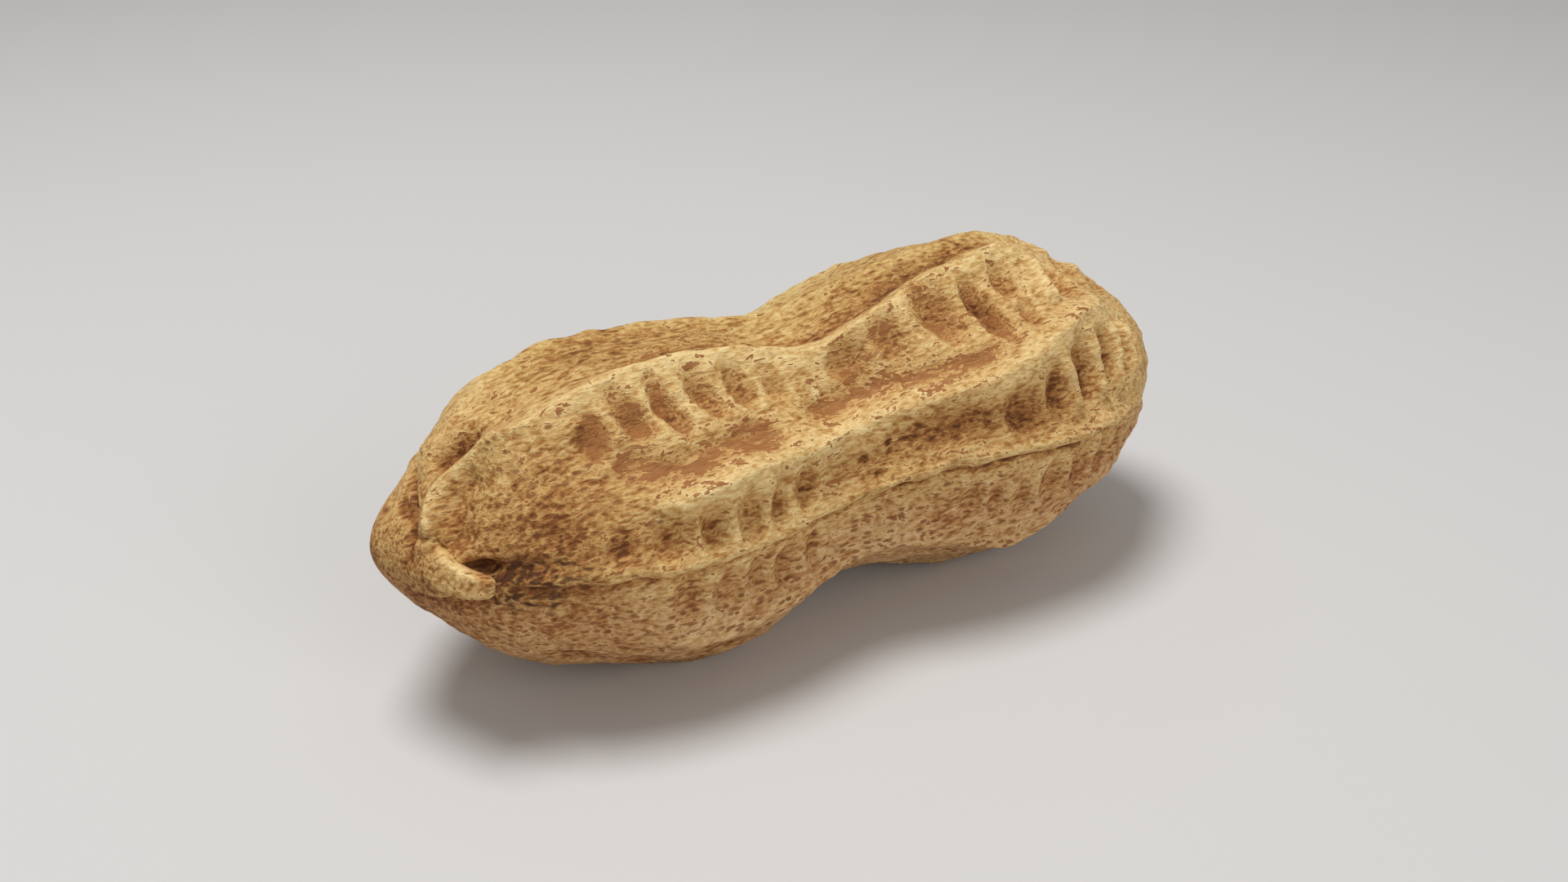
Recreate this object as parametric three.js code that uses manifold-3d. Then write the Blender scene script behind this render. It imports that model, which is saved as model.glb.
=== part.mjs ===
// A peanut in its shell: one dried pod with two swollen lobes, a waist between them, a hooked beak at
// one end and a blunt stalk end at the other. Veins run from end to end, and the two on opposite sides
// are the seams where the halves of the shell meet. The pod lies on its side with both seams level.
// Millimetres, +Z up. +X runs from the beak end to the stalk end, and -Y is the side the beak hooks to.
import * as THREE from "three";
import { mergeVertices } from "three/addons/utils/BufferGeometryUtils.js";
import Module from "manifold-3d";

// Driving dimensions
const POD_LENGTH = 39.4;
const NEAR_LOBE_RADIUS = 7.2;
const WAIST_RADIUS = 6.1;
const FAR_LOBE_RADIUS = 7.7;
const REST_DEPTH = 0.15; // how much of each lobe's underside is worn to a flat
const END = POD_LENGTH / 2;

// Outline of the shell from the beak end to the stalk end. Each station is
// [distance along X, radius there, height of its centre].
const OUTLINE = [
  [-END, 0, 8.2],
  [-END + 0.5, 1.3, 8.1],
  [-END + 1.6, 2.75, 7.85],
  [-END + 3.2, 4.35, 7.75],
  [-END + 5.4, 5.85, 7.7],
  [-END + 8.6, 6.95, 7.55],
  [-7.1, NEAR_LOBE_RADIUS, NEAR_LOBE_RADIUS],
  [-3.7, 6.75, 7.2],
  [-0.5, WAIST_RADIUS, 7.55],
  [2.5, 6.85, 8.0],
  [8.1, FAR_LOBE_RADIUS, FAR_LOBE_RADIUS],
  [END - 7.8, 7.2, FAR_LOBE_RADIUS],
  [END - 4.8, 6.0, FAR_LOBE_RADIUS],
  [END - 2.2, 4.2, FAR_LOBE_RADIUS],
  [END - 0.5, 2.2, FAR_LOBE_RADIUS],
  [END, 0, FAR_LOBE_RADIUS],
];

// Veins, in degrees around the pod from the front seam (-Y) over the top (+Z)
const SEAM_ANGLES = [0, 180];
const VEIN_ANGLES = [30, 68, 107, 143, 216, 250, 290, 322];
const SEAM_HEIGHT = 0.3;
const VEIN_HEIGHT = 0.26;
const VEIN_HALF_WIDTH = 0.75;
const VEINS_MEET_RADIUS = 1.7; // the shell is this thick where the veins have run together at its ends

// Centreline of the beak, which leaves the nose and curls back along the front seam
const BEAK_PATH = [
  [-17.3, -0.6, 8.7],
  [-18.1, -2.3, 8.7],
  [-17.7, -4.0, 8.55],
  [-16.2, -5.4, 8.35],
];
const BEAK_ROOT_RADIUS = 1.7;
const BEAK_TIP_RADIUS = 0.45;

// Facets of the turned shapes
const POD_RINGS = 46;
const POD_SEGMENTS = 72;
const BEAK_RINGS = 12;
const BEAK_SEGMENTS = 16;

const wasm = await Module();
wasm.setup();

function solidOf(geometry) {
  const bare = geometry.clone();
  bare.deleteAttribute("normal");
  bare.deleteAttribute("uv");
  const merged = mergeVertices(bare);
  return new wasm.Manifold(
    new wasm.Mesh({
      numProp: 3,
      vertProperties: new Float32Array(merged.attributes.position.array),
      triVerts: new Uint32Array(merged.index.array),
    }),
  );
}

function geometryOf(solid) {
  const { vertProperties, triVerts } = solid.getMesh();
  const geometry = new THREE.BufferGeometry();
  geometry.setAttribute("position", new THREE.BufferAttribute(vertProperties, 3));
  geometry.setIndex(new THREE.BufferAttribute(triVerts, 1));
  geometry.computeVertexNormals();
  return geometry;
}

// A rounded ridge, 1 at its crest and 0 well beside it
function ridge(offset, halfWidth) {
  return Math.exp(-((offset / halfWidth) ** 2));
}

// How far the veins and seams raise the shell at an angle, where its plain radius is as given.
// They fade out towards the two ends, where they run together.
function veinRise(degrees, radius) {
  const crests = [
    ...SEAM_ANGLES.map((angle) => [angle, SEAM_HEIGHT]),
    ...VEIN_ANGLES.map((angle) => [angle, VEIN_HEIGHT]),
  ];
  let rise = 0;
  for (const [angle, height] of crests) {
    const apart = THREE.MathUtils.euclideanModulo(degrees - angle + 180, 360) - 180;
    const offset = THREE.MathUtils.degToRad(apart) * radius;
    rise += height * ridge(offset, VEIN_HALF_WIDTH);
  }
  return rise * THREE.MathUtils.smoothstep(radius, VEINS_MEET_RADIUS, NEAR_LOBE_RADIUS);
}

// The shell: its outline turned about the length, then each ring set at its own height and raised
// along the veins.
function shellGeometry() {
  const outline = new THREE.SplineCurve(OUTLINE.map(([x, r]) => new THREE.Vector2(r, x)));
  const centres = new THREE.SplineCurve(OUTLINE.map(([x, , z]) => new THREE.Vector2(x, z)));
  const rings = outline.getPoints(POD_RINGS);
  rings.forEach((point) => point.setX(Math.max(point.x, 0)));
  const turned = new THREE.LatheGeometry(rings, POD_SEGMENTS);
  const place = turned.getAttribute("position");
  const pointsPerTurn = rings.length;
  for (let i = 0; i < place.count; i += 1) {
    const ring = i % pointsPerTurn;
    const segment = Math.floor(i / pointsPerTurn) % POD_SEGMENTS;
    const degrees = 360 - (360 * segment) / POD_SEGMENTS;
    const centre = centres.getPoint(ring / POD_RINGS);
    const radius = rings[ring].x + veinRise(degrees, rings[ring].x);
    const turn = THREE.MathUtils.degToRad(degrees);
    const across = -radius * Math.cos(turn);
    const up = centre.y + radius * Math.sin(turn);
    place.setXYZ(i, rings[ring].y, across, up);
  }
  return turned;
}

// The beak: a tapering horn turned about its own length, then bent along its path
function beakGeometry() {
  const path = new THREE.CatmullRomCurve3(BEAK_PATH.map((point) => new THREE.Vector3(...point)));
  const frames = path.computeFrenetFrames(BEAK_RINGS);
  const outline = [new THREE.Vector2(0, 0)];
  for (let ring = 0; ring <= BEAK_RINGS; ring += 1) {
    const share = ring / BEAK_RINGS;
    const taper = THREE.MathUtils.lerp(BEAK_ROOT_RADIUS, BEAK_TIP_RADIUS, share);
    outline.push(new THREE.Vector2(taper, share));
  }
  outline.push(new THREE.Vector2(0, 1));
  const turned = new THREE.LatheGeometry(outline, BEAK_SEGMENTS);
  const place = turned.getAttribute("position");
  const corner = new THREE.Vector3();
  for (let i = 0; i < place.count; i += 1) {
    corner.fromBufferAttribute(place, i);
    const ring = Math.round(corner.y * BEAK_RINGS);
    const moved = path.getPointAt(ring / BEAK_RINGS);
    moved.addScaledVector(frames.binormals[ring], corner.x);
    moved.addScaledVector(frames.normals[ring], corner.z);
    place.setXYZ(i, moved.x, moved.y, moved.z);
  }
  return turned;
}

// Everything below the resting surface, to be cut away
function belowRest() {
  const block = new THREE.BoxGeometry(2 * POD_LENGTH, 2 * POD_LENGTH, POD_LENGTH);
  return block.translate(0, 0, REST_DEPTH - POD_LENGTH / 2);
}

const podSolid = solidOf(shellGeometry()).add(solidOf(beakGeometry())).subtract(solidOf(belowRest()));
const podGeometry = geometryOf(podSolid);
podGeometry.computeBoundingBox();
const box = podGeometry.boundingBox;
const middle = box.getCenter(new THREE.Vector3());
podGeometry.translate(-middle.x, -middle.y, -box.min.z);

const pod = new THREE.Mesh(
  podGeometry,
  new THREE.MeshStandardMaterial({ color: 0xc39a5f, roughness: 0.8, metalness: 0 }),
);
pod.name = "pod";

const peanut = new THREE.Group();
peanut.name = "peanut";
peanut.add(pod);

export default peanut;
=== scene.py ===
import math

import bmesh
import bpy
import numpy as np
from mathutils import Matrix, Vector


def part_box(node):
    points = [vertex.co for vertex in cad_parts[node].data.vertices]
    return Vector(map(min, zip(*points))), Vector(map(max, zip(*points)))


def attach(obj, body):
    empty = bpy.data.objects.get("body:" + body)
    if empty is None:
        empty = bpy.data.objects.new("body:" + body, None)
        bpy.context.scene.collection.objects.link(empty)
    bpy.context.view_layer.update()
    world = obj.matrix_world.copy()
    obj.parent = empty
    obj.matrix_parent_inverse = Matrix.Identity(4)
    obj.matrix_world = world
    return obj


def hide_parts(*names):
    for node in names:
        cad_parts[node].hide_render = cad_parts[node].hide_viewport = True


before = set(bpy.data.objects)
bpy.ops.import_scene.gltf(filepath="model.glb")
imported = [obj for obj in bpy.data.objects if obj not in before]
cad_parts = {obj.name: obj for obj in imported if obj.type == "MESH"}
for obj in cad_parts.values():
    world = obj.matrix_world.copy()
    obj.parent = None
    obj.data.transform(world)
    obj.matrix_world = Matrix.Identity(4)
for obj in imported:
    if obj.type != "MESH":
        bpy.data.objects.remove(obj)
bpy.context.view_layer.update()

# Shell
# The pod is one dried, woody-papery shell that grew round two seeds. It is widest over each seed, drawn
# in at the waist between them, pointed at the beak end and blunt where the stalk was. Lengths are
# millimetres, and angles are degrees round the pod from its front (-Y) over the top (+Z).
MM = 0.001
pod_low, pod_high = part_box("pod")
HALF_LENGTH = (pod_high.x - pod_low.x) / 2 / MM
RINGS_ALONG = 34
CORNERS_AROUND = 40
NET_SMOOTHINGS = 12
SUBDIVISIONS = 3

# The plain outline under the veins: distance from the middle, radius, height of the ring's centre
OUTLINE = np.array([
    (-HALF_LENGTH, 0.0, 8.1),
    (-HALF_LENGTH + 0.5, 1.4, 8.0),
    (-HALF_LENGTH + 1.6, 2.75, 7.75),
    (-HALF_LENGTH + 3.2, 4.25, 7.65),
    (-HALF_LENGTH + 5.4, 5.7, 7.6),
    (-HALF_LENGTH + 8.6, 6.7, 7.45),
    (-7.1, 6.95, 7.15),
    (-3.7, 6.5, 7.1),
    (-0.5, 5.8, 7.45),
    (2.5, 6.5, 7.9),
    (8.1, 7.4, 7.6),
    (HALF_LENGTH - 7.8, 6.9, 7.6),
    (HALF_LENGTH - 4.8, 5.75, 7.6),
    (HALF_LENGTH - 2.2, 4.1, 7.6),
    (HALF_LENGTH - 0.5, 2.2, 7.6),
    (HALF_LENGTH, 0.0, 7.6),
])


def smooth_between(places, values, wanted):
    """Reads a smooth curve through the values set at the places."""
    slopes = np.gradient(values, places, axis=0)
    span = np.clip(np.searchsorted(places, wanted) - 1, 0, len(places) - 2)
    width = places[span + 1] - places[span]
    share = np.clip((wanted - places[span]) / width, 0, 1)
    rest = 1 - share
    start = values[span] * (1 + 2 * share) + slopes[span] * width * share
    end = values[span + 1] * (1 + 2 * rest) - slopes[span + 1] * width * rest
    return start * rest**2 + end * share**2


def from_nose(x):
    """Turns a distance from the middle into degrees from the beak end's pole to the stalk end's."""
    return np.degrees(np.arccos(np.clip(-np.asarray(x) / HALF_LENGTH, -1, 1)))


def radius_at(x):
    return smooth_between(from_nose(OUTLINE[:, 0]), OUTLINE[:, 1], from_nose(x))


def centre_at(x):
    return smooth_between(from_nose(OUTLINE[:, 0]), OUTLINE[:, 2], from_nose(x))


def on_shell(x, degrees):
    """The point of the plain shell at a distance along it and an angle round it."""
    turn = np.radians(degrees)
    across = -radius_at(x) * np.cos(turn)
    up = centre_at(x) + radius_at(x) * np.sin(turn)
    return np.stack([np.asarray(x, float), across, up], axis=-1)


def rim_turn(edge):
    """How far round the ball's axis the middle of an edge is."""
    middle = edge.verts[0].co + edge.verts[1].co
    return math.atan2(middle.y, middle.x)


shell = bmesh.new()
bmesh.ops.create_uvsphere(shell, u_segments=CORNERS_AROUND, v_segments=RINGS_ALONG, radius=1)

# The ball's two ends are closed with a square net, because a fan of slivers would pucker there
ends = [corner for corner in shell.verts if len(corner.link_edges) == CORNERS_AROUND]
bmesh.ops.delete(shell, geom=ends, context="VERTS")
quarter = CORNERS_AROUND // 4
for side in (-1, 1):
    rim = [edge for edge in shell.edges if edge.is_boundary and edge.verts[0].co.z * side > 0]
    rim.sort(key=rim_turn)
    filled = bmesh.ops.grid_fill(shell, edges=rim[:quarter] + rim[2 * quarter:3 * quarter])
    net = set(filled["faces"])
    inside_net = [corner for corner in shell.verts if net.issuperset(corner.link_faces)]
    for _ in range(NET_SMOOTHINGS):
        bmesh.ops.smooth_vert(
            shell, verts=inside_net, factor=0.5, use_axis_x=True, use_axis_y=True, use_axis_z=True
        )
bmesh.ops.recalc_face_normals(shell, faces=shell.faces)

for corner in shell.verts:
    corner.co.normalize()
    x = -HALF_LENGTH * corner.co.z
    turn = math.degrees(math.atan2(corner.co.y, corner.co.x))
    corner.co = on_shell(x, turn)

# Beak
# The dried end of the flower's style, a small horn of the same fibre that grows out of the nose and hooks
# back along the front seam. Its root sinks into the nose, and its tip stands free over a crevice.
BEAK_ROOT_X = (-18.95, -17.65)
BEAK_ROOT_DEGREES = (18, 45)
NOSE_NORMAL = Vector((-0.68, -0.68, 0.2)).normalized()
RELIEF_LOST = 0.35  # the share of the shell's relief that each section of the beak loses

# Centre of each section, its half width and its half thickness
BEAK_SECTIONS = [
    ((-17.88, -2.37, 8.77), 0.46, 0.3),
    ((-17.91, -3.04, 8.5), 0.62, 0.39),
    ((-17.67, -3.82, 8.25), 0.61, 0.44),
    ((-17.2, -4.38, 8.18), 0.53, 0.42),
    ((-16.8, -4.76, 8.17), 0.44, 0.38),
    ((-16.5, -4.94, 8.13), 0.3, 0.26),
]
in_beak = shell.verts.layers.float.new("beak")
on_rim = shell.verts.layers.float.new("beak_rim")


def shell_place(point):
    """The distance along the shell and the angle round it of a point."""
    turn = math.atan2(point.z - centre_at(point.x), -point.y)
    return point.x, math.degrees(turn)


def within(value, limits):
    return limits[0] < value < limits[1]


def share_between(value, limits):
    """Where a value lies between two limits, from -1 to 1."""
    return 2 * (value - limits[0]) / (limits[1] - limits[0]) - 1


section = []
for face in shell.faces:
    x, degrees = shell_place(face.calc_center_median())
    if within(x, BEAK_ROOT_X) and within(degrees, BEAK_ROOT_DEGREES):
        section.append(face)
root = sum((face.calc_center_median() for face in section), Vector()) / len(section)
path = [root, *(Vector(centre) for centre, _, _ in BEAK_SECTIONS)]
across = outer = None
for i, (_, next_half_width, next_half_thickness) in enumerate(BEAK_SECTIONS, start=1):
    grown = bmesh.ops.extrude_face_region(shell, geom=section)["geom"]
    bmesh.ops.delete(shell, geom=section, context="FACES")
    section = [part for part in grown if isinstance(part, bmesh.types.BMFace)]
    corners = [part for part in grown if isinstance(part, bmesh.types.BMVert)]
    places = []
    for corner in corners:
        if across is None:
            x, degrees = shell_place(corner.co)
            places.append((-share_between(degrees, BEAK_ROOT_DEGREES), -share_between(x, BEAK_ROOT_X)))
        else:
            offset = corner.co - path[i - 1]
            places.append((offset.dot(across) / half_width, offset.dot(outer) / half_thickness))
    heading = (path[min(i + 1, len(BEAK_SECTIONS))] - path[i - 1]).normalized()
    outer = (NOSE_NORMAL - heading * NOSE_NORMAL.dot(heading)).normalized()
    across = heading.cross(outer)
    half_width = next_half_width
    half_thickness = next_half_thickness
    for corner, (sideways, out) in zip(corners, places):
        corner.co = path[i] + across * sideways * half_width + outer * out * half_thickness
        corner[in_beak] = min(1.0, RELIEF_LOST * i)
        corner[on_rim] = max(0.0, -sideways) * corner[in_beak]


def corner_order(part):
    """A number that puts edges and faces in the order of their corners."""
    numbers = sorted(corner.index for corner in part.verts)
    return sum(number / len(shell.verts) ** i for i, number in enumerate(numbers))


# Edges and faces are put in the order of their corners, so that each run gives exactly the same points
shell.verts.index_update()
shell.edges.sort(key=corner_order)
shell.faces.sort(key=corner_order)

cage = bpy.data.meshes.new("pod_cage")
shell.to_mesh(cage)
shell.free()
cage_object = bpy.data.objects.new("pod_cage", cage)
bpy.context.scene.collection.objects.link(cage_object)
rounding = cage_object.modifiers.new("rounding", "SUBSURF")
rounding.levels = SUBDIVISIONS
rounding.render_levels = SUBDIVISIONS
rounded_cage = cage_object.evaluated_get(bpy.context.evaluated_depsgraph_get())
pod_mesh = bpy.data.meshes.new_from_object(rounded_cage)
bpy.data.objects.remove(cage_object)

# Relief
# Two seams and several veins of the shell run from end to end. Between them it has dried and shrunk onto
# the seeds, in rows of hollows with thin ribs between them, and it is wrinkled along its length.
count = len(pod_mesh.vertices)
spot = np.empty(count * 3)
pod_mesh.vertices.foreach_get("co", spot)
spot = spot.reshape(-1, 3)
outward = np.empty(count * 3)
pod_mesh.vertices.foreach_get("normal", outward)
outward = outward.reshape(-1, 3)
beak = np.empty(count)
pod_mesh.attributes["beak"].data.foreach_get("value", beak)
beak = np.clip(beak, 0, 1)


def ripple(seed, wavelength, stretch=1.0, waves=24):
    """A smooth random swell over the shell, about -1 to 1, drawn out along the pod by the stretch."""
    draw = np.random.default_rng(seed)
    ways = draw.normal(size=(waves, 3))
    ways /= np.linalg.norm(ways, axis=1, keepdims=True)
    ways *= draw.uniform(0.7, 1.3, size=(waves, 1)) * 2 * math.pi / wavelength
    ways[:, 0] /= stretch
    starts = draw.uniform(0, 2 * math.pi, size=waves)
    return np.sin(spot @ ways.T + starts).sum(axis=1) * math.sqrt(2 / waves) * 0.6


def stray(seeds, wavelength):
    return np.stack([ripple(seed, wavelength) for seed in seeds], axis=1)


# Lines and hollows are placed on slightly strayed points, so that none is ruler-straight
WANDER = 0.08
WANDER_LENGTH = 2.2
FINE_WANDER = 0.05
FINE_WANDER_LENGTH = 0.9
LEAST_RADIUS = 0.5
strayed = spot + WANDER * stray((1, 2, 3), WANDER_LENGTH)
ragged_spot = strayed + FINE_WANDER * stray((4, 5, 6), FINE_WANDER_LENGTH)
place_x = ragged_spot[:, 0]
place_turn = np.degrees(np.arctan2(ragged_spot[:, 2] - centre_at(place_x), -ragged_spot[:, 1]))
place_radius = np.maximum(radius_at(place_x), LEAST_RADIUS)

# What the lines and hollows add up to at each point
rise = np.zeros(count)
crest = np.zeros(count)
# Darkening of the shell's colour in hollows, grooves and creases: partly the brown of the pits, partly
# painted shade
hollow_shade_and_brown = np.zeros(count)
bare = np.zeros(count)

# The section of a vein: the share of its height in the crisp crest, and how wide the crest and the foot are
CREST_SHARE = 0.45
CREST_WIDTH = 0.7
FOOT_WIDTH = 1.8

# The section of a hollow: how it steepens, how much deeper its beak end is, how strongly its brown and
# painted shade darken it, and where its pale rim lies
STEEPNESS = 1.4
END_DEPTH = 0.5
HOLLOW_SHADE_AND_BROWN = 1 / 1.2
RIM_PLACE = 1.15
RIM_WIDTH = 0.2


def beside_line(route, reach, fade):
    """How far each point is from a line on the shell, how strong the line is there, and if it is left of it.

    The line's points hold a distance along the pod and an angle, and may hold a strength. It fades in and
    out over the two shares of its length."""
    route = np.array([(*point, 1.0)[:3] for point in route])
    steps = np.arange(len(route), dtype=float)
    finer = np.linspace(0, steps[-1], 10 * len(route))
    line = on_shell(smooth_between(steps, route[:, 0], finer), smooth_between(steps, route[:, 1], finer))
    strength = smooth_between(steps, route[:, 2], finer)
    near = np.all((strayed > line.min(axis=0) - reach) & (strayed < line.max(axis=0) + reach), axis=1)
    near = np.flatnonzero(near)
    points = strayed[near]
    apart = np.full(count, np.inf)
    strong = np.zeros(count)
    on_left = np.zeros(count, bool)
    for i in range(len(line) - 1):
        run = line[i + 1] - line[i]
        t = np.clip((points - line[i]) @ run / max(run @ run, 1e-9), 0, 1)
        offset = points - line[i] - t[:, None] * run
        gap = np.linalg.norm(offset, axis=1)
        closer = gap < apart[near]
        share = (i + t) / (len(line) - 1)
        fading = np.clip(share / max(fade[0], 1e-6), 0, 1) * np.clip((1 - share) / max(fade[1], 1e-6), 0, 1)
        level = (strength[i] + t * (strength[i + 1] - strength[i])) * fading * fading * (3 - 2 * fading)
        left = np.einsum("ij,ij->i", np.cross(run, offset), outward[near]) > 0
        apart[near[closer]] = gap[closer]
        strong[near[closer]] = level[closer]
        on_left[near[closer]] = left[closer]
    return apart, strong, on_left


def add_vein(route, height, left, right, fade=(0.12, 0.12), paleness=1.0):
    """Raises a vein with a crisp crest along a line, as wide on its left and right as given."""
    apart, strong, on_left = beside_line(route, 5 * max(left, right), fade)
    apart = apart / np.where(on_left, left, right)
    sharp = CREST_SHARE * np.exp(-apart / CREST_WIDTH)
    rounded = (1 - CREST_SHARE) * np.exp(-((apart / FOOT_WIDTH) ** 2))
    rise[:] += height * strong * (sharp + rounded)
    crest[:] = np.maximum(crest, paleness * strong * np.exp(-(apart**2)))


def add_groove(route, depth, left, right, fade=(0.15, 0.15), colour=1.0):
    """Sinks a groove along a line, as wide on its left and right as given, and darkens its colour there with
    painted shade, as much as the colour says.
    """
    apart, strong, on_left = beside_line(route, 4 * max(left, right), fade)
    cut = strong * np.exp(-((apart / np.where(on_left, left, right)) ** 2))
    rise[:] -= depth * cut
    hollow_shade_and_brown[:] = np.maximum(hollow_shade_and_brown, colour * cut)


def add_trough(route, depth, half_width, fade=(0.15, 0.15), colour=1.0):
    """Sinks a round-bottomed trough along a line, bare of the pale outer skin."""
    apart, strong, _ = beside_line(route, 3 * half_width, fade)
    cut = strong * np.exp(-((apart / half_width) ** 2))
    rise[:] -= depth * cut
    bare[:] = np.maximum(bare, colour * cut)


def around_from(degrees):
    """How far each point is round the pod from an angle, in millimetres."""
    return ((place_turn - degrees + 180) % 360 - 180) * math.pi / 180 * place_radius


def add_hollow(x, degrees, half_along, half_around, depth, lean=0.0, colour=1.0, bared=0.0, rim=0.3):
    """Sinks a pit into the shell, deeper towards the beak end, and darkens it with its brown and painted
    shade. A lean moves its top to the stalk end.
    """
    around = around_from(degrees)
    along = (place_x - x - lean * around) / half_along
    gap = np.hypot(along, around / half_around)
    inside = np.clip(1 - gap**2, 0, 1)
    deeper = 1 - END_DEPTH * np.clip(along, -1, 1)
    rise[:] -= depth * inside**STEEPNESS * deeper
    hollow_shade_and_brown[:] = np.maximum(hollow_shade_and_brown, colour * inside * deeper * HOLLOW_SHADE_AND_BROWN)
    crest[:] = np.maximum(crest, rim * np.exp(-(((gap - RIM_PLACE) / RIM_WIDTH) ** 2)))
    bare[:] = np.maximum(bare, bared * np.sqrt(inside))


# The front seam, a fine raised line with a groove under it, and the back seam
FRONT_SEAM = [
    (-16.6, 6, 0.8), (-12.7, 5, 0.65), (-9.1, 5, 0.75), (-4.7, 7, 0.9), (-0.2, 6), (2.7, 7), (6.6, 8),
    (10.8, 7), (15.2, 5, 0.7), (17.6, 3, 0.2),
]
FRONT_FOOT_DEGREES = -3
BACK_SEAM = [(-18, 184), (-12, 186), (-5, 184), (0, 186), (7, 184), (13, 186), (17.6, 182)]
BACK_FOOT_DEGREES = 3.4
add_vein(FRONT_SEAM, height=0.7, left=0.5, right=0.26, fade=(0.05, 0.1), paleness=0.7)
# Painted shadow darkens the grooves under the front seam and beside the back seam, as their colour says
front_foot = [(x, degrees + FRONT_FOOT_DEGREES, *strength) for x, degrees, *strength in FRONT_SEAM]
add_groove(front_foot, depth=0.36, left=0.1, right=0.2, fade=(0.06, 0.1), colour=1.25)
add_vein(BACK_SEAM, height=0.5, left=0.45, right=0.5, fade=(0.06, 0.06), paleness=0.7)
back_foot = [(x, degrees + BACK_FOOT_DEGREES) for x, degrees in BACK_SEAM]
add_groove(back_foot, depth=0.25, left=0.3, right=0.13, fade=(0.06, 0.06), colour=0.8)

# Veins of the front and top
UPPER_VEIN = [
    (-16.2, 69, 0.3), (-14.6, 67, 0.6), (-13.3, 66, 0.8), (-11.9, 68, 0.95), (-9.5, 71), (-6.7, 74),
    (-4.0, 73), (-1.1, 68), (0.3, 66), (2.7, 67), (5.5, 74), (9.1, 79), (11.4, 82),
]
UPPER_FOOT_DEGREES = 9
UPPER_FOOT_START = 3  # the point of the upper vein that the groove behind it starts at
MIDDLE_VEIN = [
    (-11.2, 25), (-9.3, 27), (-6.6, 30), (-4.0, 32), (-1.3, 32), (1.6, 31), (4.7, 32), (8.5, 38),
    (10.9, 45), (13.3, 52), (16, 60),
]
LOWER_VEIN = [
    (-13, -26), (-8.4, -28), (-5.5, -27), (-2.8, -27), (-0.6, -28), (0.9, -24), (2.0, -25), (4.2, -30),
    (6.5, -35), (8.6, -34), (13, -28),
]
TOP_VEIN = [
    (-17, 110), (-14, 104), (-9, 108), (-4, 106), (0, 101), (2.6, 96), (4.9, 93), (7.8, 93), (13.2, 100),
    (16.5, 104),
]
TOP_TROUGH = [(1.2, 77), (3.2, 80), (5.5, 84), (8.5, 86)]
add_vein(UPPER_VEIN, height=1.05, left=0.5, right=0.75, fade=(0.08, 0.05))
# Painted shade darkens the groove behind the upper vein
upper_foot = [(x, degrees + UPPER_FOOT_DEGREES) for x, degrees, *_ in UPPER_VEIN[UPPER_FOOT_START:]]
add_groove(upper_foot, depth=0.2, left=0.6, right=0.3, fade=(0.2, 0.1), colour=0.6)
add_vein(MIDDLE_VEIN, height=0.9, left=0.6, right=0.9, fade=(0.2, 0.12))
add_vein(LOWER_VEIN, height=0.65, left=0.6, right=0.6, paleness=0.5)
add_vein(TOP_VEIN, height=0.65, left=0.55, right=0.55, paleness=0.7)
add_trough(TOP_TROUGH, depth=0.15, half_width=0.7, colour=0.3)

# The upper vein's end folds down over the far lobe, and ribs fan out from the seam to the stalk end
UPPER_VEIN_FOLD = [(10.6, 83), (11.5, 77), (11.7, 69), (11.4, 61), (11.1, 54)]
FAN_RIBS = [
    [(9.9, 38), (10.4, 29), (10.7, 19), (10.8, 12)],
    [(12.2, 46), (12.5, 34), (12.6, 22), (12.5, 12)],
    [(14.0, 50), (14.1, 37), (14.1, 24), (13.9, 12)],
    [(15.6, 52), (15.5, 38), (15.4, 25), (15.2, 12)],
]
END_RIBS = [
    [(14.0, 104), (14.7, 95), (15.0, 86), (14.8, 78)],
    [(15.5, 100), (16.1, 90), (16.3, 80), (16.2, 70)],
]
add_vein(UPPER_VEIN_FOLD, height=0.7, left=0.25, right=0.5)
for rib in FAN_RIBS:
    add_vein(rib, height=0.5, left=0.25, right=0.3, fade=(0.3, 0.3))
for rib in END_RIBS:
    add_vein(rib, height=0.25, left=0.25, right=0.4, fade=(0.3, 0.3))

# The lip that the beak grows out of, the face sunk beside it and the creases of the nose
NOSE_LIP = [
    (-17.8, 27), (-17.9, 35), (-17.9, 44), (-17.7, 54, 0.9), (-17.25, 64, 0.8), (-16.5, 68, 0.75),
    (-15.5, 69, 0.7), (-14.4, 67, 0.6), (-13.4, 64, 0.5),
]
LIP_FOOT = [(-16.9, 24), (-17.0, 36), (-16.9, 48), (-16.5, 57), (-15.6, 61)]
NOSE_CREASE = [
    (-17.2, 100), (-17.65, 88), (-17.95, 74), (-18.25, 57), (-18.45, 41), (-18.6, 21), (-18.7, 5),
]
SHOULDER_CREASE = [(-17.1, 77), (-16.5, 77), (-15.7, 77), (-15.0, 76)]
SHOULDER_FOLDS = [
    [(-17.6, 90), (-16.9, 88), (-16.1, 87), (-15.2, 85), (-13.6, 83)],
    [(-17.2, 99), (-16.5, 97), (-15.7, 95), (-14.2, 93)],
]
NOSE_LEDGE = [(-19.1, -32), (-18.6, -18), (-17.7, -9), (-16.8, -4), (-15.8, 1)]
add_vein(NOSE_LIP, height=0.75, left=0.25, right=0.35, fade=(0.08, 0.25), paleness=1.6)
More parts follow.
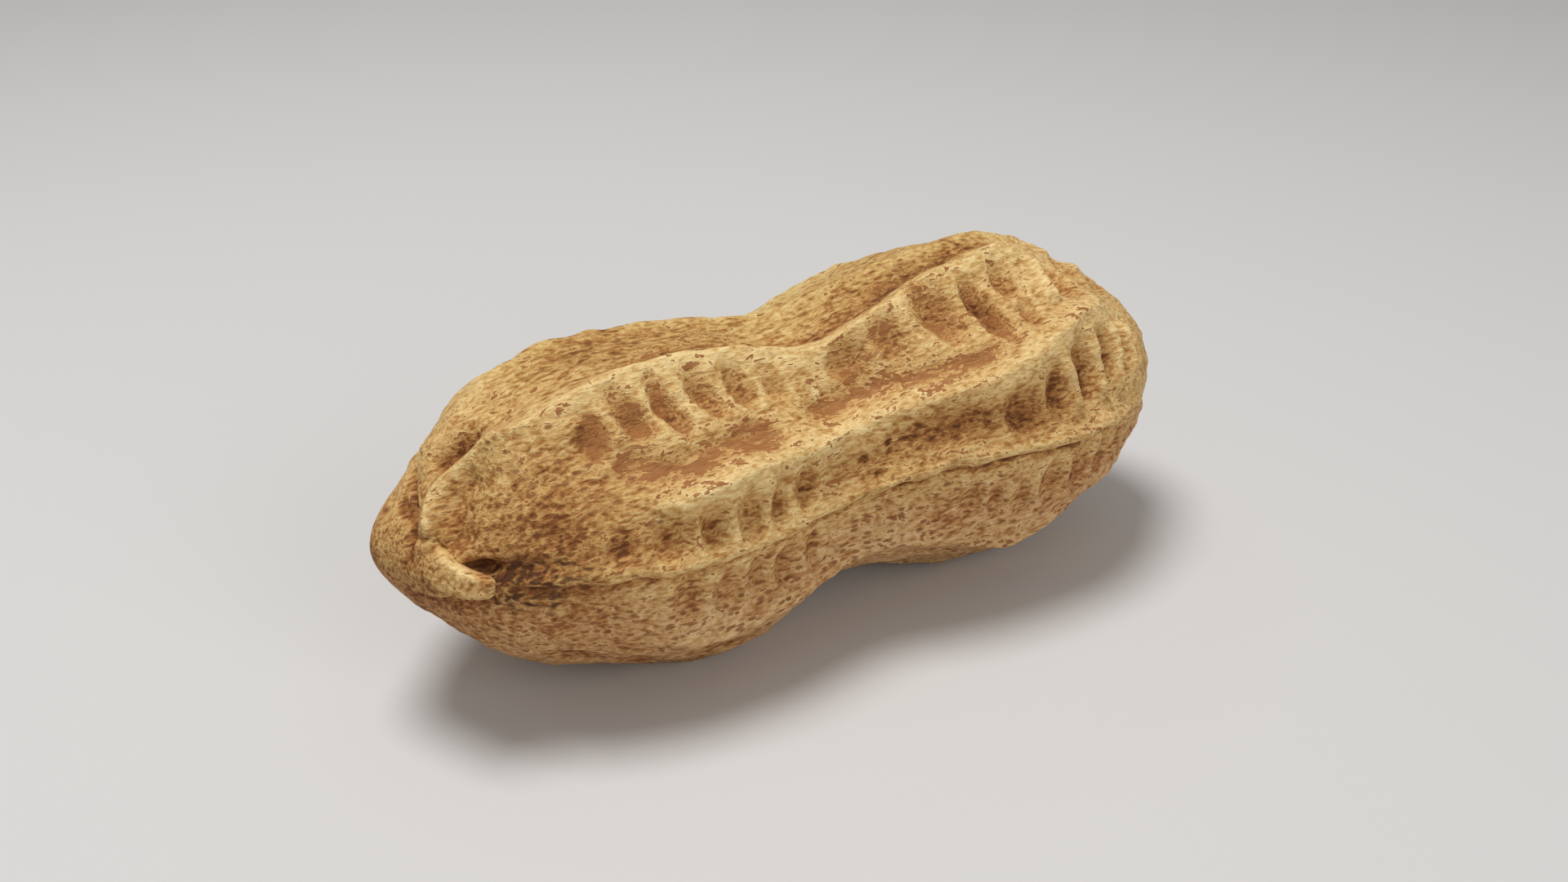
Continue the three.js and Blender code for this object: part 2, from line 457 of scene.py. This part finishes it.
# Painted shade darkens the foot of the lip and the creases and ledge of the nose, as their colour says
add_groove(LIP_FOOT, depth=0.3, left=0.5, right=0.6, colour=0.3)
add_groove(NOSE_CREASE, depth=0.32, left=0.15, right=0.22, colour=0.7)
add_groove(SHOULDER_CREASE, depth=0.35, left=0.35, right=0.4, fade=(0.2, 0.2), colour=0.9)
for fold in SHOULDER_FOLDS:
    add_vein(fold, height=0.45, left=0.25, right=0.3, fade=(0.2, 0.3), paleness=0.5)
add_groove(NOSE_LEDGE, depth=0.45, left=0.12, right=0.7, fade=(0.1, 0.3), colour=0.5)

# The pit of the nose, the trough that runs on from the beak's tip, and the crevice under the beak, each
# darkened with painted shade
add_hollow(x=-18.3, degrees=72, half_along=0.4, half_around=0.7, depth=0.4)
add_hollow(x=-15.3, degrees=11, half_along=1.6, half_around=0.7, depth=0.3, colour=0.4, rim=0.1)
add_hollow(x=-16.55, degrees=13, half_along=0.65, half_around=0.45, depth=0.5, rim=0)

# The valley between the upper and the middle vein, in two stretches
NEAR_VALLEY = [(-11.6, 46), (-10.2, 42), (-8.4, 37), (-6.6, 40), (-4.8, 41), (-3.0, 42)]
FAR_VALLEY = [(-2.4, 43), (-0.6, 44), (0.7, 44), (3.2, 41), (5.5, 41), (8.0, 43)]
add_trough(NEAR_VALLEY, depth=0.4, half_width=0.75)
add_trough(FAR_VALLEY, depth=0.4, half_width=0.65)

# Rows of hollows, each with its place along and round the pod, its two half sizes, depth, lean, darkness
# (its brown and painted shade) and bareness: the upper row, the row above the front seam, the row below it
# and the lowest folds
UPPER_ROW = [
    (-11.5, 54, 0.9, 1.0, 0.3, 0.0, 0.6, 0.85),
    (-9.8, 58, 0.8, 1.35, 0.5, -0.35, 0.6, 0.75),
    (-8.1, 58, 0.65, 1.6, 0.6, -0.35, 0.9, 0.6),
    (-6.3, 61, 0.75, 1.35, 0.5, -0.35, 0.7, 0.45),
    (-4.6, 61, 0.65, 1.15, 0.42, -0.35, 0.7, 0.35),
    (-3.0, 59, 0.6, 0.9, 0.25, -0.3, 0.6, 0.2),
    (0.8, 57, 1.2, 1.1, 0.4, 0.0, 0.6, 0.65),
    (2.7, 58, 1.0, 1.3, 0.42, -0.2, 0.7, 0.45),
    (5.3, 61, 1.25, 1.9, 0.65, -0.25, 0.6, 0.5),
    (7.6, 58, 0.75, 2.1, 0.8, -0.25, 0.9, 0.6),
    (9.4, 68, 0.8, 1.1, 0.4, -0.2, 0.6, 0.2),
    (9.7, 53, 0.6, 0.9, 0.3, 0.0, 0.6, 0.2),
    (13.0, 68, 1.2, 1.8, 0.75, 0.0, 0.7, 0.3),
    (14.9, 84, 0.8, 1.4, 0.4, 0.0, 0.6),
    (16.4, 78, 0.7, 1.2, 0.35, 0.0, 0.6),
]
SEAM_ROW = [
    (-11.3, 14, 1.0, 1.0, 0.12, 0.0, 0.6),
    (-9.6, 14, 1.15, 1.15, 0.34, 0.2, 0.6),
    (-7.7, 16, 0.85, 1.35, 0.46, 0.15, 0.75),
    (-6.0, 17, 0.8, 1.5, 0.42, 0.1, 0.65),
    (-4.6, 19, 0.65, 1.45, 0.42, 0.1, 0.65),
    (-3.3, 19, 0.65, 1.25, 0.34, 0.1, 0.65),
    (4.6, 21, 2.6, 1.0, 0.3, 0.0, 0.4),
    (7.6, 21, 1.2, 1.2, 0.42, 0.0, 0.8),
    (9.5, 25, 0.8, 1.4, 0.3),
    (11.5, 27, 0.85, 1.8, 0.6),
    (13.2, 30, 0.7, 1.7, 0.55),
    (14.7, 32, 0.65, 1.6, 0.45),
    (16.2, 34, 0.65, 1.4, 0.45),
]
LOWER_ROW = [
    (-9.0, -9, 0.95, 1.3, 0.32, 0.0, 0.5),
    (-7.2, -10, 0.9, 1.45, 0.4, 0.0, 0.6),
    (-5.6, -9, 0.75, 1.45, 0.4, 0.0, 0.6),
    (-4.2, -10, 0.7, 1.35, 0.38, 0.0, 0.6),
    (-2.7, -10, 0.6, 1.1, 0.28, 0.0, 0.5),
    (5.2, -12, 0.75, 1.4, 0.28, 0.0, 0.35),
    (6.5, -12, 0.7, 1.4, 0.32, 0.0, 0.4),
    (7.9, -11, 0.75, 1.5, 0.36, 0.0, 0.45),
    (9.5, -10, 0.85, 1.55, 0.42, 0.0, 0.5),
    (11.3, -10, 0.9, 1.65, 0.44, 0.0, 0.5),
    (13.0, -11, 0.85, 1.65, 0.44, 0.0, 0.5),
    (14.6, -12, 0.8, 1.5, 0.42, 0.0, 0.5),
]
LOWEST_FOLDS = [
    (-13.2, -44, 1.6, 0.8, 0.22, 0.0, 0.5),
    (-10.4, -48, 1.4, 0.8, 0.25, 0.0, 0.6),
    (-6.8, -45, 1.7, 0.7, 0.22, 0.0, 0.5),
    (-3.0, -50, 1.3, 0.7, 0.2, 0.0, 0.5),
    (4.8, -46, 2.0, 0.7, 0.2, 0.0, 0.5),
    (9.2, -45, 1.6, 0.8, 0.25, 0.0, 0.6),
    (12.8, -42, 1.4, 0.8, 0.22, 0.0, 0.5),
]
for hollow_place in UPPER_ROW + SEAM_ROW + LOWER_ROW + LOWEST_FOLDS:
    add_hollow(*hollow_place)

# Pores and a short crack at the waist, darkened with painted shade, and two pale flecks of loose skin
PORES = [(-0.1, 20, 0.22), (1.1, 18.5, 0.16), (1.2, 22, 0.15), (1.7, 21, 0.15), (-0.3, 5, 0.16)]
WAIST_CRACK = [(0.4, 14), (0.35, 11), (0.3, 8), (0.1, 3)]
FLECKS = [(2.9, 34), (-1.2, 51)]
FLECK_HALF_LENGTH = 0.12
for x, degrees, size in PORES:
    add_hollow(x, degrees, size, size, depth=0.12, colour=1.8, rim=0)
add_groove(WAIST_CRACK, depth=0.15, left=0.1, right=0.1, colour=1.5)
for x, degrees in FLECKS:
    route = [(x - FLECK_HALF_LENGTH, degrees), (x + FLECK_HALF_LENGTH, degrees)]
    add_vein(route, height=0.2, left=0.25, right=0.25, fade=(0, 0), paleness=4.0)

# The back and the underside, with the same habits: veins with their angle and height, ribs at the stalk
# end, troughs with their angle, start and end, and rows of hollows with gaps at the waist
BACK_SEED = 11
BACK_VEINS = [(139, 0.65), (161, 0.4), (214, 0.6), (244, 0.4), (290, 0.4)]
BACK_VEIN_PLACES = np.linspace(-16.5, 16.5, 7)
BACK_END_RIBS = (118, 146, 174, 203, 231, 262, 296, 330)
BACK_RIB_PLACES = (12.5, 14.5, 16.5, 18, 18.9)
BACK_TROUGHS = [(150, -11, -3.5), (151, 2.5, 10.5), (229, -10, -2.5), (228, 4, 12)]
BACK_ROWS = (150, 172, 198, 229, 267)
BACK_ROW_ENDS = (-14.5, 15.5)
BACK_WAIST = (-1.5, 2.2)
LEAST_WAIST_HOLLOW = 0.8
back_draw = np.random.default_rng(BACK_SEED)
for degrees, height in BACK_VEINS:
    sway = back_draw.uniform(-5, 5, size=len(BACK_VEIN_PLACES))
    route = [(x, degrees + bend) for x, bend in zip(BACK_VEIN_PLACES, sway)]
    add_vein(route, height, left=0.55, right=0.7, paleness=0.8)
for degrees in BACK_END_RIBS:
    route = [(x, degrees + back_draw.uniform(-3, 3)) for x in BACK_RIB_PLACES]
    add_vein(route, height=0.4, left=0.3, right=0.4, fade=(0.3, 0.1), paleness=0.8)
for degrees, start, end in BACK_TROUGHS:
    route = [(x, degrees + back_draw.uniform(-2, 2)) for x in np.linspace(start, end, 5)]
    add_trough(route, depth=0.35, half_width=0.7)
# The back's hollows are darkened with their brown and painted shade, as in the front rows
for degrees in BACK_ROWS:
    x, row_end = BACK_ROW_ENDS
    while x < row_end:
        size = back_draw.uniform(0.2, 1)
        x += 0.8 + 0.9 * size + back_draw.exponential(0.35)
        if within(x, BACK_WAIST) and size < LEAST_WAIST_HOLLOW:
            continue
        add_hollow(
            x,
            degrees + back_draw.uniform(-4, 4),
            half_along=0.4 + 0.45 * size,
            half_around=0.7 + 0.8 * size,
            depth=0.12 + 0.36 * size,
            lean=back_draw.uniform(-0.35, 0.35),
            colour=0.35 + 0.55 * size,
        )

# Broad swellings that make the lobes lopsided: place, two half sizes and height
SWELLINGS = [
    (-18.2, 6, 1.2, 1.3, 0.7),
    (7.5, 106, 3.5, 3.5, 0.2),
    (3.0, 122, 2.5, 3.0, -0.3),
    (-14.0, 112, 2.5, 3.5, -0.05),
    (-18.3, 130, 1.5, 2.0, -0.3),
    (-5.5, -66, 4.5, 4.0, 0.75),
    (-11.5, -75, 3.0, 3.5, -0.25),
]
for x, degrees, half_along, half_around, swell in SWELLINGS:
    along = (place_x - x) / half_along
    rise += swell * np.exp(-(along**2 + (around_from(degrees) / half_around) ** 2))

# Wrinkles along the length: seed, distance apart, how far they are drawn out and height
WRINKLES = [(21, 1.1, 2.2, 0.04), (22, 0.6, 1.6, 0.025), (23, 6.0, 1.0, 0.1)]
for seed, apart, stretch, height in WRINKLES:
    rise += height * ripple(seed, apart, stretch)

# All of this fades out on the beak and at the middle of both ends
PLAIN_END_RADIUS = 0.6
END_FADE = 2.6
axis_gap = np.hypot(spot[:, 1], spot[:, 2] - centre_at(spot[:, 0]))
rise *= (1 - beak) * np.clip((axis_gap - PLAIN_END_RADIUS) / END_FADE, 0, 1)
crest *= 1 - beak

# The scar where the stalk was, a shallow dimple with a low rim in the blunt end
SCAR_RADIUS = 1.5
SCAR_DEPTH = 0.75
SCAR_DARKNESS = 0.9
SCAR_RIM_RADIUS = 2.2
SCAR_RIM_WIDTH = 0.7
SCAR_RIM_HEIGHT = 0.08
at_stalk = spot[:, 0] > HALF_LENGTH / 2
stalk_scar = np.exp(-((axis_gap / SCAR_RADIUS) ** 2)) * at_stalk
rise -= SCAR_DEPTH * stalk_scar
rise += SCAR_RIM_HEIGHT * np.exp(-(((axis_gap - SCAR_RIM_RADIUS) / SCAR_RIM_WIDTH) ** 2)) * at_stalk
# The dimple is darkened through the same mark of brown and painted shade
hollow_shade_and_brown = np.maximum(hollow_shade_and_brown, SCAR_DARKNESS * stalk_scar)

spot += outward * rise[:, None]
spot[:, 2] = np.maximum(spot[:, 2], 0)
pod_mesh.vertices.foreach_set("co", (spot * MM).ravel())
pod_mesh.update()
pod_mesh.shade_smooth()
pod = bpy.data.objects.new("peanut_pod", pod_mesh)
bpy.context.scene.collection.objects.link(pod)

# Skin
# Dry shell fibre, straw-coloured and matt. It is paler on the veins, brown and smoother where the outer
# skin is gone from the hollows, with short streaks along the length, dark freckles and a stain by the beak.
# Painted shade darkens its hollows, grooves and creases, its underside and the faces that lie in shade.


def patch(x, degrees, half_along, half_around, half_back=None):
    """A soft patch of the shell, 1 in its middle. Towards the beak end it may have another half size."""
    along = (place_x - x) / np.where(place_x < x, half_back or half_along, half_along)
    return np.exp(-(along**2 + ((place_turn - degrees) / half_around) ** 2))


def rising(values, start, end):
    """Goes from 0 to 1 as the values go from start to end."""
    return np.clip((values - start) / (end - start), 0, 1)


# Where the shell is stained, the underside that painted shade darkens, the top with its tint, the faces
# darkened with painted shade, and where it is freckled
stain = 0.85 * patch(-15.9, 9, half_along=3.0, half_around=7, half_back=0.9)
stain += 0.8 * patch(-15.2, -6, half_along=1.8, half_around=6)
stain *= 1 - beak
under = rising(place_turn, 4, -16) * rising(place_turn, -180, -140)
top = rising(place_turn, 70, 92) * rising(place_turn, 165, 135)
top *= rising(place_x, -16, -12) * rising(place_x, 14, 9)
near_lobe_face = patch(-14.5, 22, half_along=3.2, half_around=32)
near_lobe_top = patch(-9, 98, half_along=5, half_around=16)
far_lobe_face = patch(7, 18, half_along=5, half_around=14)
far_lobe_top = patch(4, 95, half_along=5, half_around=18)
waist_front = patch(1, 18, half_along=4, half_around=11)
nose = np.exp(-(((place_x + 19) / 2.4) ** 2))
# Painted shade on faces that lie in shade: the face and top of each lobe, the front of the waist, the nose
# and, a little, the underside
painted_face_shade = near_lobe_face + 0.9 * near_lobe_top + 0.7 * far_lobe_face + 0.6 * far_lobe_top
painted_face_shade += 0.6 * waist_front + 0.6 * nose + 0.2 * under
painted_face_shade = np.clip(painted_face_shade, 0, 1.2)
freckle = np.clip(0.15 + 0.85 * near_lobe_face + 0.75 * under, 0, 1)
SHELL_MARKS = {
    "crest": crest, "hollow_shade_and_brown": hollow_shade_and_brown, "bare": bare, "stain": stain, "under": under, "top": top,
    "painted_face_shade": painted_face_shade, "freckle": freckle,
}
for name, values in SHELL_MARKS.items():
    layer = pod_mesh.attributes.new(name, "FLOAT", "POINT")
    layer.data.foreach_set("value", values)


def paint(red, green, blue):
    """A colour as a paint chart gives it, 0 to 255, in the light values that a finish takes."""
    shares = [level / 255 for level in (red, green, blue)]
    light = [share / 12.92 if share <= 0.04045 else ((share + 0.055) / 1.055) ** 2.4 for share in shares]
    return (*light, 1.0)


DEEP_BROWN = paint(100, 58, 28)
BROWN = paint(154, 102, 53)
TAN = paint(186, 142, 84)
STRAW = paint(208, 171, 111)
CREAM = paint(232, 205, 147)
BARE_OCHRE = paint(154, 100, 54)
FRECKLE_BROWN = paint(124, 72, 36)
STAIN_BROWN = paint(70, 37, 20)
# Painted shade, darker and pinker, multiplied over the underside
UNDERSIDE_SHADE = (0.93, 0.86, 0.95, 1.0)
TOP_TINT = (0.94, 0.97, 0.93, 1.0)
TONES = [(0.12, DEEP_BROWN), (0.3, BROWN), (0.44, TAN), (0.58, STRAW), (0.8, CREAM)]
FRECKLES_ALONG = 1.9  # to the millimetre
FRECKLES_ACROSS = 4.0
FRECKLE_STRENGTH = 0.75
STAIN_STRENGTH = 0.88
GRAIN_DEPTH = 0.14
GRAIN_STRENGTH = 0.7
SKIN_ROUGHNESS = 0.85
BARE_ROUGHNESS = 0.68
SKIN_GLOSS = 0.25

skin = bpy.data.materials.new("shell_skin")
skin.use_nodes = True
tree = skin.node_tree
finish = tree.nodes["Principled BSDF"]
pod_place = tree.nodes.new("ShaderNodeTexCoord").outputs["Object"]


def step(kind, inputs, **settings):
    """Adds one step of the skin's recipe and joins or sets its inputs."""
    made = tree.nodes.new(kind)
    for name, value in settings.items():
        setattr(made, name, value)
    for name, value in inputs.items():
        if isinstance(value, bpy.types.NodeSocket):
            tree.links.new(value, made.inputs[name])
        else:
            made.inputs[name].default_value = value
    return made


def stretched(along, across):
    """The place on the pod, for a pattern that repeats so often a millimetre along the pod and across it."""
    scale = (along / MM, across / MM, across / MM)
    return step("ShaderNodeMapping", {"Vector": pod_place, "Scale": scale}).outputs["Vector"]


def noise(along, across, detail, roughness, distortion=0.0):
    """Cloudy noise with so many swells a millimetre along the pod and across it."""
    texture = step("ShaderNodeTexNoise", {
        "Vector": stretched(along, across), "Scale": 1.0, "Detail": detail, "Roughness": roughness,
        "Distortion": distortion,
    })
    return texture.outputs["Fac"]


def mark(name):
    return step("ShaderNodeAttribute", {}, attribute_name=name).outputs["Fac"]


def times(first, second):
    return step("ShaderNodeMath", {0: first, 1: second}, operation="MULTIPLY").outputs[0]


def between(value, low, high):
    """Rises smoothly from 0 to 1 as the value goes from low to high."""
    spread = step("ShaderNodeMapRange", {"Value": value, "From Min": low, "From Max": high},
                  interpolation_type="SMOOTHSTEP")
    return spread.outputs["Result"]


def layer_over(below, above, amount, blend="MIX"):
    """Lays one colour over another, as thick as the amount says."""
    mixed = step("ShaderNodeMix", {0: amount, 6: below, 7: above}, data_type="RGBA", blend_type=blend)
    return mixed.outputs[2]


def weighed(start, parts):
    """Adds parts to a starting value, each times its weight."""
    total = start
    for value, weight in parts:
        adding = step("ShaderNodeMath", {0: value, 1: weight, 2: total}, operation="MULTIPLY_ADD")
        total = adding.outputs[0]
    return total


fleck = noise(along=2.4, across=5.0, detail=2.0, roughness=0.55, distortion=0.4)
mottle = noise(along=0.8, across=1.4, detail=3.0, roughness=0.6, distortion=0.5)
grain = noise(along=1.3, across=6.5, detail=2.0, roughness=0.5, distortion=0.6)
cloud = noise(along=0.2, across=0.28, detail=2.0, roughness=0.5)
streak = noise(along=0.5, across=4.0, detail=2.0, roughness=0.5, distortion=0.3)

# The fibre's tone, from deep brown to cream, darkened by the hollows' brown and painted shade and by painted
# shade on the faces that lie in shade
tone = weighed(-0.53, [
    (fleck, 0.95), (mottle, 0.5), (grain, 0.4), (cloud, 0.3), (mark("crest"), 0.14), (mark("beak"), 0.1),
    (mark("beak_rim"), 0.2), (mark("hollow_shade_and_brown"), -0.34), (mark("painted_face_shade"), -0.19),
])
ramp = step("ShaderNodeValToRGB", {"Fac": tone})
for place_on_ramp, _ in TONES[1:-1]:
    ramp.color_ramp.elements.new(place_on_ramp)
for stop, (place_on_ramp, shade) in zip(ramp.color_ramp.elements, TONES):
    stop.position = place_on_ramp
    stop.color = shade
colour = ramp.outputs["Color"]

# Bare patches, the painted shade of the underside, the tint of the top, freckles and the stain, one over the
# other
bared = weighed(-3.5, [(mottle, 3.4), (fleck, 3.4), (mark("bare"), 1.0)])
bared = times(between(bared, 0.48, 0.62), between(grain, -0.2, 0.6))
colour = layer_over(colour, BARE_OCHRE, bared)
colour = layer_over(colour, UNDERSIDE_SHADE, mark("under"), "MULTIPLY")
colour = layer_over(colour, TOP_TINT, mark("top"), "MULTIPLY")
cells = step("ShaderNodeTexVoronoi", {"Vector": stretched(FRECKLES_ALONG, FRECKLES_ACROSS), "Scale": 1.0})
drawn_lot = step("ShaderNodeSeparateColor", {"Color": cells.outputs["Color"]}).outputs["Red"]
chosen = between(weighed(-0.05, [(mark("freckle"), 0.65), (drawn_lot, -1.0)]), 0.0, 0.1)
specks = times(between(cells.outputs["Distance"], 0.5, 0.25), chosen)
colour = layer_over(colour, FRECKLE_BROWN, times(specks, FRECKLE_STRENGTH))
stained = between(weighed(-3.2, [(streak, 4.4), (fleck, 1.6), (mark("stain"), 1.2)]), 0.2, 1.0)
stained = times(stained, between(mark("stain"), 0.05, 0.45))
colour = layer_over(colour, STAIN_BROWN, times(stained, STAIN_STRENGTH))
tree.links.new(colour, finish.inputs["Base Color"])

height = weighed(0.0, [(grain, 0.7), (fleck, 0.8), (mottle, 0.5), (specks, -0.15)])
relief = step("ShaderNodeBump", {"Height": height, "Strength": GRAIN_STRENGTH, "Distance": GRAIN_DEPTH * MM})
tree.links.new(relief.outputs["Normal"], finish.inputs["Normal"])
roughness = step("ShaderNodeMapRange", {
    "Value": mark("bare"), "To Min": SKIN_ROUGHNESS, "To Max": BARE_ROUGHNESS,
})
tree.links.new(roughness.outputs["Result"], finish.inputs["Roughness"])
finish.inputs["Specular IOR Level"].default_value = SKIN_GLOSS
pod_mesh.materials.clear()
pod_mesh.materials.append(skin)

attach(pod, "root")
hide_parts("pod")

# Floor
# A plain pale sheet of matt card that the pod lies on. It is no part of the pod, and reaches well past
# what the camera sees.
FLOOR_HALF_WIDTH = 0.6
FLOOR_GREY = (0.62, 0.61, 0.6, 1)
FLOOR_ROUGHNESS = 0.9
floor_mesh = bpy.data.meshes.new("floor")
sheet = bmesh.new()
bmesh.ops.create_grid(sheet, x_segments=1, y_segments=1, size=FLOOR_HALF_WIDTH)
sheet.to_mesh(floor_mesh)
sheet.free()
floor = bpy.data.objects.new("floor", floor_mesh)
bpy.context.scene.collection.objects.link(floor)
floor_paint = bpy.data.materials.new("floor_paint")
floor_paint.use_nodes = True
floor_finish = floor_paint.node_tree.nodes["Principled BSDF"]
floor_finish.inputs["Base Color"].default_value = FLOOR_GREY
floor_finish.inputs["Roughness"].default_value = FLOOR_ROUGHNESS
floor_mesh.materials.append(floor_paint)

# Light
# Soft studio light: a round lamp overhead, a wider and weaker one in front as a fill, and a dim room
# around them.
ROOM_COLOUR = (1.0, 0.98, 0.95, 1)
ROOM_STRENGTH = 0.3

# Name of each lamp, its place, its width in metres and its power in watts
LAMPS = [
    ("overhead_lamp", (-0.04, 0.02, 0.23), 0.1, 0.41),
    ("front_lamp", (0.05, -0.25, 0.12), 0.2, 0.21),
]
bpy.context.scene.view_settings.view_transform = "Standard"
room = bpy.data.worlds.new("room")
room.use_nodes = True
room.node_tree.nodes["Background"].inputs["Color"].default_value = ROOM_COLOUR
room.node_tree.nodes["Background"].inputs["Strength"].default_value = ROOM_STRENGTH
bpy.context.scene.world = room
for name, place, width, power in LAMPS:
    lamp = bpy.data.lights.new(name, "AREA")
    lamp.shape = "DISK"
    lamp.size = width
    lamp.energy = power
    holder = bpy.data.objects.new(name, lamp)
    holder.location = place
    holder.rotation_euler = (-Vector(place)).to_track_quat("-Z", "Y").to_euler()
    bpy.context.scene.collection.objects.link(holder)

# Camera
# Stands in front of the pod, towards its beak end and a little above it, and looks down along it. The
# rise and the sidestep move it square to its line of sight, so that the pod lies off the middle.
CAMERA_AZIMUTH = math.radians(-31.4)
CAMERA_ELEVATION = math.radians(28)
CAMERA_DISTANCE = 78.2 * MM
CAMERA_RISE = 7.1 * MM
CAMERA_SIDESTEP = 0.2 * MM
CAMERA_TARGET = Vector((-0.7, 0, -0.1)) * MM
SENSOR_WIDTH = 36.0
FRAME_HEIGHT_SHARE = 1080 / 1920
VIEW_HEIGHT = math.radians(30)
camera_data = bpy.data.cameras.new("camera")
camera_data.sensor_width = SENSOR_WIDTH
camera_data.sensor_fit = "HORIZONTAL"
camera_data.lens = SENSOR_WIDTH * FRAME_HEIGHT_SHARE / 2 / math.tan(VIEW_HEIGHT / 2)
camera_data.clip_start = MM
camera = bpy.data.objects.new("camera", camera_data)
back = Vector((
    math.sin(CAMERA_AZIMUTH) * math.cos(CAMERA_ELEVATION),
    -math.cos(CAMERA_AZIMUTH) * math.cos(CAMERA_ELEVATION),
    math.sin(CAMERA_ELEVATION),
))
right = Vector((math.cos(CAMERA_AZIMUTH), math.sin(CAMERA_AZIMUTH), 0))
up = back.cross(right)
camera.location = CAMERA_TARGET + right * CAMERA_SIDESTEP + up * CAMERA_RISE + back * CAMERA_DISTANCE
camera.rotation_euler = (-back).to_track_quat("-Z", "Y").to_euler()
bpy.context.scene.collection.objects.link(camera)
bpy.context.scene.camera = camera
